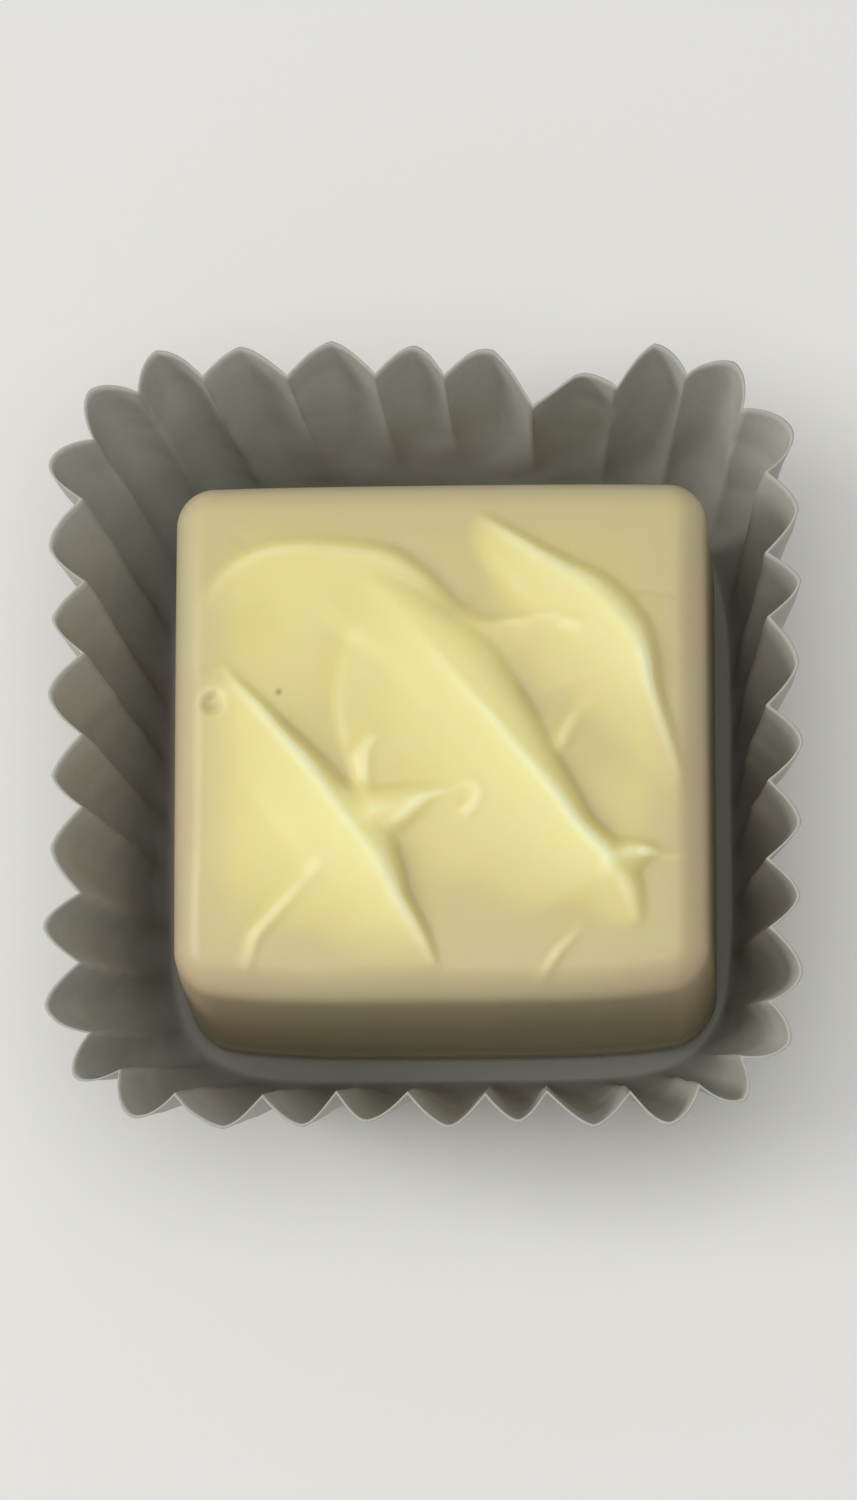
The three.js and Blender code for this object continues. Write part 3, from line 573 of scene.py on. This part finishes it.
def make_paper_case():
    """The case, spun as a plain cup whose every point is then moved to its place in the fluted wall."""
    paths = [*np.linspace(0, 1, FLOOR_RINGS + 1), *np.linspace(1, 2, WALL_RINGS + 1)[1:]]
    bm = bmesh.new()
    profile = [(path, 0) for path in paths] + [(path, 1) for path in reversed(paths)]
    verts = [bm.verts.new((path, 0, inner)) for path, inner in profile]
    edges = [bm.edges.new(pair) for pair in zip(verts, verts[1:])]
    steps = FLUTES * FLUTE_STEPS
    bmesh.ops.spin(bm, geom=verts + edges, axis=(0, 0, 1), angle=2 * math.pi, steps=steps, use_merge=True)
    bmesh.ops.remove_doubles(bm, verts=bm.verts, dist=SAME_POINT)
    bmesh.ops.recalc_face_normals(bm, faces=bm.faces)
    raw = np.array([v.co for v in bm.verts])
    column = np.rint(np.arctan2(raw[:, 1], raw[:, 0]) / (2 * math.pi) * steps).astype(int) % steps
    flute, through = column // FLUTE_STEPS, column % FLUTE_STEPS / FLUTE_STEPS
    creases = crease_turns()
    width = np.append(creases[1:], creases[0] + 1) - creases
    turn = creases[flute] + width[flute] * through
    path, inner = np.hypot(raw[:, 0], raw[:, 1]), np.rint(raw[:, 2])
    place_verts(bm, case_skin(turn, flute, through, path, inner) * MM)
    return finished_piece("fluted_case", bm, case_paper())


# ---------------------------------------------------------------- materials

def linear(hex_colour):
    """An sRGB hex colour as the linear red, green, blue and alpha that Blender's sockets hold."""
    parts = [int(hex_colour[k:k + 2], 16) / 255 for k in (1, 3, 5)]
    return (*[c / 12.92 if c <= 0.04045 else ((c + 0.055) / 1.055) ** 2.4 for c in parts], 1)


def add(tree, kind, settings=(), links=()):
    """Adds a node. Settings name its inputs or its own properties, and links feed its inputs from outputs."""
    node = tree.nodes.new(kind)
    for name, value in dict(settings).items():
        if isinstance(name, int) or name in node.inputs:
            node.inputs[name].default_value = value
        else:
            setattr(node, name, value)
    for name, output in dict(links).items():
        tree.links.new(output, node.inputs[name])
    return node


def new_material(name):
    """A new material, its node tree, which holds only a shader and an output yet, and that shader."""
    material = bpy.data.materials.new(name)
    material.use_nodes = True
    tree = material.node_tree
    return material, tree, tree.nodes["Principled BSDF"]


def white_chocolate():
    """Tempered white chocolate, poured and marked with a fork. The eye sees a creamy ivory body that light
    sinks a little way into, satin rather than wet. It is paler where the coating lies thick, partly its own
    tone and partly painted light; a deeper yellow in its hollows, which is painted shade; nearly white along
    its crests, which is a painted highlight; and a dull pinkish beige at its edges and sides, darkened there
    with painted shade."""
    material, tree, shader = new_material("tempered_white_chocolate")
    place = add(tree, "ShaderNodeTexCoord").outputs["Object"]
    cloud = add(tree, "ShaderNodeTexNoise", {"Scale": 1 / (CLOUD_SIZE * MM), "Detail": 3}, {"Vector": place})
    colour = add(tree, "ShaderNodeRGB")
    colour.outputs["Color"].default_value = linear(COATING_BASE)
    shade = colour.outputs["Color"]
    for mark, low, high, share, tint in COATING_TINTS:
        read = add(tree, "ShaderNodeAttribute", {"attribute_name": mark}).outputs["Fac"]
        part = add(tree, "ShaderNodeMapRange", {"From Min": low, "From Max": high, "To Max": share},
                   {"Value": read}).outputs["Result"]
        shade = add(tree, "ShaderNodeMix", {"data_type": "RGBA", MIX_B: linear(tint)},
                    {"Factor": part, MIX_A: shade}).outputs[MIXED]
    inset = add(tree, "ShaderNodeAttribute", {"attribute_name": "inset"}).outputs["Fac"]
    thin = add(tree, "ShaderNodeMapRange", {"From Min": 1.8, "From Max": 0.2}, {"Value": inset})
    patch = add(tree, "ShaderNodeMapRange", {"From Min": 0.45, "From Max": 0.62, "To Max": 0.6},
                {"Value": cloud.outputs["Fac"]})
    blush = add(tree, "ShaderNodeMath", {"operation": "MULTIPLY"},
                {0: thin.outputs["Result"], 1: patch.outputs["Result"]})
    edged = add(tree, "ShaderNodeMix", {"data_type": "RGBA", MIX_B: linear(EDGE_BLUSH)},
                {"Factor": blush.outputs["Value"], MIX_A: shade})
    grain = add(tree, "ShaderNodeTexNoise", {"Scale": 1 / (GRAIN_SIZE * MM), "Detail": 4}, {"Vector": place})
    bump = add(tree, "ShaderNodeBump", {"Strength": 0.12, "Distance": 0.03 * MM},
               {"Height": grain.outputs["Fac"]})
    satin = add(tree, "ShaderNodeMapRange", {"To Min": 0.33, "To Max": 0.45}, {"Value": cloud.outputs["Fac"]})
    tree.links.new(edged.outputs[MIXED], shader.inputs["Base Color"])
    tree.links.new(bump.outputs["Normal"], shader.inputs["Normal"])
    tree.links.new(satin.outputs["Result"], shader.inputs["Roughness"])
    shader.inputs["IOR"].default_value = 1.46
    shader.inputs["Subsurface Weight"].default_value = 0.6
    shader.inputs["Subsurface Radius"].default_value = (1.0, 0.8, 0.4)
    shader.inputs["Subsurface Scale"].default_value = 0.8 * MM
    return material


def case_paper():
    """Thin glassine-like paper, pleated and pressed. The eye sees a matte grey-white sheet with faint fibres.
    It is darker and a little browner low down, which is painted shade deep in the case."""
    material, tree, shader = new_material("pleated_case_paper")
    place = add(tree, "ShaderNodeTexCoord").outputs["Object"]
    fibre = add(tree, "ShaderNodeTexNoise",
                {"Scale": 1 / (FIBRE_SIZE * MM), "Detail": 5, "Roughness": 0.65}, {"Vector": place})
    upper = add(tree, "ShaderNodeMix",
                {"data_type": "RGBA", MIX_A: linear("#AEAEA4"), MIX_B: linear("#BFBFB5")},
                {"Factor": fibre.outputs["Fac"]})
    # Painted shade: the paper is drawn darker and browner towards the floor, for the shade deep in the case.
    height = add(tree, "ShaderNodeSeparateXYZ", links={"Vector": place}).outputs["Z"]
    low = add(tree, "ShaderNodeMapRange", {"From Min": 9.5 * MM, "From Max": 1.5 * MM, "To Max": 0.5},
              {"Value": height})
    tint = add(tree, "ShaderNodeMix", {"data_type": "RGBA", MIX_B: linear("#7E7B70")},
               {"Factor": low.outputs["Result"], MIX_A: upper.outputs[MIXED]})
    bump = add(tree, "ShaderNodeBump", {"Strength": 0.25, "Distance": 0.02 * MM},
               {"Height": fibre.outputs["Fac"]})
    tree.links.new(tint.outputs[MIXED], shader.inputs["Base Color"])
    tree.links.new(bump.outputs["Normal"], shader.inputs["Normal"])
    shader.inputs["Roughness"].default_value = 0.8
    shader.inputs["Specular IOR Level"].default_value = 0.3
    return material


def table_finish():
    """Smooth matte laminate: a plain pale surface."""
    material, _, shader = new_material("matte_laminate")
    shader.inputs["Base Color"].default_value = linear("#EDECE8")
    shader.inputs["Roughness"].default_value = 0.7
    return material


# ---------------------------------------------------------------- stage, light and camera

def make_floor():
    """The plain table top, which isn't part of the object."""
    bm = bmesh.new()
    bmesh.ops.create_grid(bm, x_segments=1, y_segments=1, size=FLOOR_HALF)
    mesh = bpy.data.meshes.new("floor")
    bm.to_mesh(mesh)
    bm.free()
    mesh.materials.append(table_finish())
    floor = bpy.data.objects.new("floor", mesh)
    bpy.context.scene.collection.objects.link(floor)


def add_softbox(name, place, size, power):
    """A square soft light at a place in metres, turned to the object."""
    data = bpy.data.lights.new(name, "AREA")
    data.size = size
    data.energy = power
    lamp = bpy.data.objects.new(name, data)
    lamp.location = place
    lamp.rotation_mode = "QUATERNION"
    lamp.rotation_quaternion = (CAMERA_TARGET - Vector(place)).to_track_quat("-Z", "Y")
    bpy.context.scene.collection.objects.link(lamp)


def light_scene():
    """Two soft lights and an even glow from all round."""
    for name, box in SOFTBOXES.items():
        add_softbox(name, **box)
    world = bpy.data.worlds.new("room")
    world.use_nodes = True
    glow = world.node_tree.nodes["Background"]
    glow.inputs["Color"].default_value = linear(ROOM_COLOUR)
    glow.inputs["Strength"].default_value = ROOM_STRENGTH
    bpy.context.scene.world = world
    bpy.context.scene.view_settings.view_transform = "Standard"


def aim_camera():
    """Looks steeply down from the front, with the back of the piece towards the top of the picture."""
    data = bpy.data.cameras.new("camera")
    data.lens = CAMERA_LENS
    data.sensor_width = CAMERA_SENSOR
    data.clip_start = CAMERA_CLIP
    camera = bpy.data.objects.new("camera", data)
    forward = (CAMERA_TARGET - CAMERA_PLACE).normalized()
    right = forward.cross(Vector((0, 1, 0))).normalized()
    turned = Matrix((right, right.cross(forward), -forward)).transposed().to_4x4()
    camera.matrix_world = Matrix.Translation(CAMERA_PLACE) @ turned
    bpy.context.scene.collection.objects.link(camera)
    bpy.context.scene.camera = camera


aim_camera()
light_scene()
make_floor()

chocolate = make_chocolate()
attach(chocolate, "root")
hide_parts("chocolate")

case = make_paper_case()
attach(case, "root")
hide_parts("paper_case")
